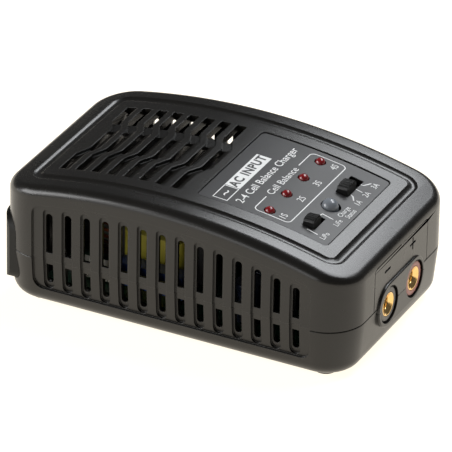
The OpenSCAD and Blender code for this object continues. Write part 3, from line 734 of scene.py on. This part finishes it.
prints = [
    ribbon([(17.75, -10.2), (17.75, -16.7)] + arc(19.25, -16.7, 1.5, 180, 270, 6)[1:] + [(27.3, -18.2)]
           + arc(27.3, -16.7, 1.5, -90, 0, 6)[1:] + [(28.8, 17.3)] + arc(27.3, 17.3, 1.5, 0, 90, 6)[1:]
           + [(19.25, 18.8)] + arc(19.25, 17.3, 1.5, 90, 180, 6)[1:] + [(17.75, 10.4)], 0.3),
    lettering("Cell Balance", 17.85, 0.1, 3.2, bold=0.0, wide=1.08),
    lettering("2-4 Cell Balance Charger", 13.0, 0.1, 3.5, bold=0.02, wide=1.0),
    patch(5.3, 10.0, -11.2, 8.85),
    ribbon([(5.45, -18.9), (9.85, -18.9), (9.85, -11.6), (5.45, -11.6)], 0.3, closed=True),
    lettering("~", 7.6, -15.25, 5.5, bold=0.012),
    ribbon([(CONTROL_X, -8.55), (33.8, -7.35), (37.3, -7.6)]),
    ribbon([(33.74, -17.1), (37.2, -17.35)]),
    ribbon([(35.6, 7.1), (36.5, 6.7), (37.6, 4.9)]),
    ribbon([(35.6, 10.6), (37.6, 10.5)]),
    ribbon([(35.6, 13.7), (36.4, 13.9), (37.6, 16.4)]),
    lettering("LiPo", 39.0, -16.4, 2.2, bold=0.0),
    lettering("LiFe", 39.0, -8.0, 2.2, bold=0.0),
    lettering("Charge", 37.9, -1.9, 2.1, bold=0.0),
    lettering("Status", 39.8, -1.4, 2.1, bold=0.0),
]
prints += [lettering(f"{i + 1}S", 26.1, y, 2.9, bold=0.0) for i, y in enumerate((-16.15, -4.85, 5.43, 16.25))]
prints += [lettering(f"{i + 1}A", 39.0, y, 2.4, bold=0.0) for i, y in enumerate((5.0, 10.55, 16.1))]
finish_piece(mesh_object("label_print", *merged(prints)), M_PRINT)
strip = lettering("AC INPUT", 7.6, -1.2, 3.9, lift=0.04, bold=0.14, gap=1.13)
finish_piece(mesh_object("label_strip_print", *strip), M_INK)

# ---------------------------------------------------------------- lights
def light_piece(name, x, y, r, top, mat, slot):
    """A domed light with its flange and two legs."""
    centre = top - r
    base = centre - 3.2 * r
    dome = [(r * math.sin(t), centre + r * math.cos(t)) for t in (math.pi / 2 * i / 14 for i in range(15))]
    dome[0] = (0.0, top)
    flange = [(r, base + 1.0), (r + 0.1, base + 0.9), (r + 0.4, base + 0.85),
              (r + 0.4, base + 0.05), (r + 0.3, base), (0.0, base)]
    parts = [lathe(dome + flange, (x, y, 0.0), 48)]
    leg, apart = 0.25, 1.27
    for s in (-1, 1):
        parts.append(block(x - leg, x + leg, y + s * apart - leg, y + s * apart + leg, 24.0, base + 0.2))
    obj = mesh_object(name + "_dome", *merged(parts))
    smooth(obj, 40)
    finish_piece(obj, mat, nodes=[name])


for i, (x, y, r) in enumerate(LIGHTS):
    light_piece(f"cell_light_{i + 1}", x, y, r, box(f"cell_light_{i + 1}")[1][2], M_RED, "red_light")
light_piece("status_light", *STATUS, box("status_light")[1][2], M_CLEAR, "clear_light")

# ---------------------------------------------------------------- sliding knobs
def knob_piece(node, body):
    """A ribbed, slightly crowned knob; its ribs lie across the travel."""
    lo, hi = box(node)
    l, top, ribs = hi[1] - lo[1], hi[2], 6
    yc = (lo[1] + hi[1]) / 2
    pitch = (l - 0.3) / ribs
    crown = lambda y: top - 0.55 * ((y - yc) / (l / 2)) ** 2
    ridge = []
    for i in range(ribs):
        a = lo[1] + 0.15 + i * pitch
        for f, drop in ((0.0, 0.5), (0.2, 0.03), (0.5, 0.0), (0.7, 0.5)):
            ridge.append((a + f * pitch, crown(a + f * pitch) - drop))
    ridge.append((hi[1] - 0.1, crown(hi[1]) - 0.25))
    base_z = 33.0  # underside of the grip, above the switch body
    sides = [(hi[1], ridge[-1][1] - 0.35), (hi[1], base_z), (lo[1], base_z), (lo[1], ridge[0][1] - 0.2)]
    outline = sides + ridge
    body_part = bar(outline, lambda y, z: (lo[0], y, z), lambda y, z: (hi[0], y, z))
    stem = block(CONTROL_X - 1.2, CONTROL_X + 1.2, lo[1] + 0.5, hi[1] - 0.5, lo[2], base_z + 0.5)
    obj = mesh_object(node + "_fine", *body_part)
    combine(obj, [stem], "UNION")
    bm = bmesh.new()
    bm.from_mesh(obj.data)
    bmesh.ops.remove_doubles(bm, verts=bm.verts, dist=1e-7)
    ends = []  # long top edges of the grip, where its side faces meet the ribs
    for e in bm.edges:
        a, b = (v.co for v in e.verts)
        if (min(a.z, b.z) > 0.034 and abs(a.x - b.x) < 1e-7 and len(e.link_faces) == 2
                and abs(abs(a.x / MM - CONTROL_X) - KNOB_HALF_W) < 0.01
                and e.link_faces[0].normal.angle(e.link_faces[1].normal) > 0.8):
            ends.append(e)
    bmesh.ops.bevel(bm, geom=ends, offset=0.12 * MM, segments=2, affect="EDGES", clamp_overlap=True)
    bm.to_mesh(obj.data)
    bm.free()
    smooth(obj, 25)
    finish_piece(obj, M_KNOB, body, [node])


knob_piece("chemistry_switch_knob", "chemistry_knob")
knob_piece("current_switch_knob", "current_knob")

# ---------------------------------------------------------------- output jacks
JACKS = ((1, "positive", M_POS, "red_plastic"), (-1, "negative", M_NEG, "black_plastic"))
for s, word, mat, slot in JACKS:
    y = s * JACK_Y
    f = JACK_FACE
    collar = [(3.5, f - 0.25), (3.65, f - 0.05), (3.9, f), (4.75, f), (4.95, f - 0.08), (5.05, f - 0.25),
              (5.05, f - 0.8), (4.7, f - 0.8), (4.7, f - 6.4), (3.5, f - 6.4)]
    obj = mesh_object(f"jack_collar_{word}", *lathe(collar, (0, y, JACK_Z), 64, "x"))
    smooth(obj, 35)
    finish_piece(obj, mat, nodes=[f"jack_ring_{word}"])
    tube = [(3.2, f - 0.04), (3.28, f), (3.42, f), (3.5, f - 0.08), (3.5, f - 16), (4.1, f - 16),
            (4.1, f - 18), (3.5, f - 18), (3.5, f - 21), (0.0, f - 21)]
    bore = [(0.0, f - 19), (2.0, f - 19), (2.0, f - 1.25), (2.12, f - 1.02), (2.7, f - 0.55), (3.2, f - 0.04)]
    obj = mesh_object(f"jack_tube_{word}", *lathe(bore + tube[1:], (0, y, JACK_Z), 64, "x"))
    smooth(obj, 35)
    finish_piece(obj, M_GOLD, nodes=[f"jack_sleeve_{word}"])
    # Darker gold liner just inside each bore: painted shade where light does not reach into the tube.
    shaded_liner = [(1.8, f - 1.75), (1.97, f - 1.6), (1.97, f - 18.5), (1.8, f - 18.5)]
    obj = mesh_object(f"jack_bore_painted_shade_{word}", *lathe(shaded_liner, (0, y, JACK_Z), 48, "x"))
    smooth(obj, 35)
    finish_piece(obj, M_BORE_SHADE)

# ---------------------------------------------------------------- feet
feet = []
for sx, sy in CORNERS:
    profile = [(0.0, 0.12), (2.2, 0.06), (2.9, 0.0), (3.3, 0.08), (3.5, 0.28), (3.6, 0.5),
               (3.6, FLOOR_Z + 0.6), (0.0, FLOOR_Z + 0.6)]
    feet.append(lathe(profile, (sx * FEET[0], sy * FEET[1], 0.0), 40))
obj = mesh_object("rubber_feet_fine", *merged(feet))
smooth(obj, 35)
finish_piece(obj, M_RUBBER, nodes=["rubber_feet"])

# ---------------------------------------------------------------- carried-over CAD parts
CARRIED = {
    "rear_bezel": M_BEZEL, "ac_inlet_body": M_BLACK, "ac_inlet_pins": M_TIN, "jack_nuts": M_TIN,
    "chemistry_switch_body": M_STEEL, "current_switch_body": M_STEEL, "control_board": M_BOARD,
    "board_link": M_BLACK,
    "main_board": M_BOARD, "board_screws": M_STEEL, "case_screws": M_STEEL, "balance_socket_3pin": M_IVORY,
    "balance_socket_4pin": M_IVORY, "balance_socket_5pin": M_IVORY, "balance_socket_pins": M_TIN,
    "transformer_core": M_FERRITE, "transformer_winding": M_TAPE, "filter_capacitor": M_BLUE,
    "bulk_capacitor": M_SLEEVE,
    "output_capacitors": M_SLEEVE, "bridge_rectifier": M_BLACK, "line_fuse": M_IVORY,
    "line_choke_core": M_CORE,
    "line_choke_winding": M_COPPER, "output_inductor": M_CORE, "heat_sink": M_ALU,
    "power_transistor": M_BLACK,
}
for name, mat in CARRIED.items():
    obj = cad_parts[name]
    if not obj.material_slots:
        obj.data.materials.append(mat)
    for s in obj.material_slots:
        s.material = mat

# ---------------------------------------------------------------- floor, lights and camera
bpy.ops.mesh.primitive_grid_add(x_subdivisions=8, y_subdivisions=8, size=9.0, location=(0, 1.0, 0))
floor = bpy.context.object
floor.name = "floor"
paper = material("floor_paper", (0.25, 0.25, 0.245), 0.85, vary=0.01, vary_scale=3.0, grain=0.02,
                 glow=(1.12, 1.02, 0.86))
floor.data.materials.append(paper)


def area_light(name, place, aim, width, height, watts, tint=(1.0, 1.0, 1.0), turn=0.0):
    """A soft rectangular light; turn spins it about its own direction, in degrees."""
    data = bpy.data.lights.new(name, "AREA")
    data.shape, data.size, data.size_y, data.energy, data.color = "RECTANGLE", width, height, watts, tint
    obj = bpy.data.objects.new(name, data)
    obj.location = place
    obj.rotation_mode = "QUATERNION"
    facing = (Vector(aim) - Vector(place)).to_track_quat("-Z", "Y")
    obj.rotation_quaternion = facing @ Quaternion((0, 0, 1), math.radians(turn))
    bpy.context.collection.objects.link(obj)


area_light("overhead", (0.12, 0.83, 1.0), (0.12, 0.83, 0), 0.5, 1.4, 22.0, (0.95, 0.975, 1.0), turn=39)
area_light("front_left", (-0.92, -0.72, 0.52), (0, 0, 0.03), 0.85, 0.5, 13.0)
area_light("front", (-0.25, -1.35, 0.33), (0, 0, 0.03), 0.8, 0.5, 3.2)
area_light("left", (-1.3, -0.35, 0.12), (0, 0, 0.03), 0.5, 0.2, 1.0)

world = bpy.data.worlds.new("room")
bpy.context.scene.world = world
world.use_nodes = True
world.node_tree.nodes["Background"].inputs["Color"].default_value = (0.95, 0.97, 1.0, 1)
world.node_tree.nodes["Background"].inputs["Strength"].default_value = 0.10

camera = bpy.data.objects.new("camera", bpy.data.cameras.new("camera"))
bpy.context.collection.objects.link(camera)
bpy.context.scene.camera = camera
camera.data.lens, camera.data.sensor_width = 427.46, 36.0
camera.data.clip_start, camera.data.clip_end = 0.05, 20.0
camera.location = (0.58707, -1.18964, 0.75941)
look = Vector((-0.003662, 0.008159, 0.016058)) - camera.location
camera.rotation_mode = "QUATERNION"
camera.rotation_quaternion = look.to_track_quat("-Z", "Y") @ Quaternion((0, 0, 1), math.radians(1.013))
bpy.context.scene.view_settings.view_transform = "Standard"
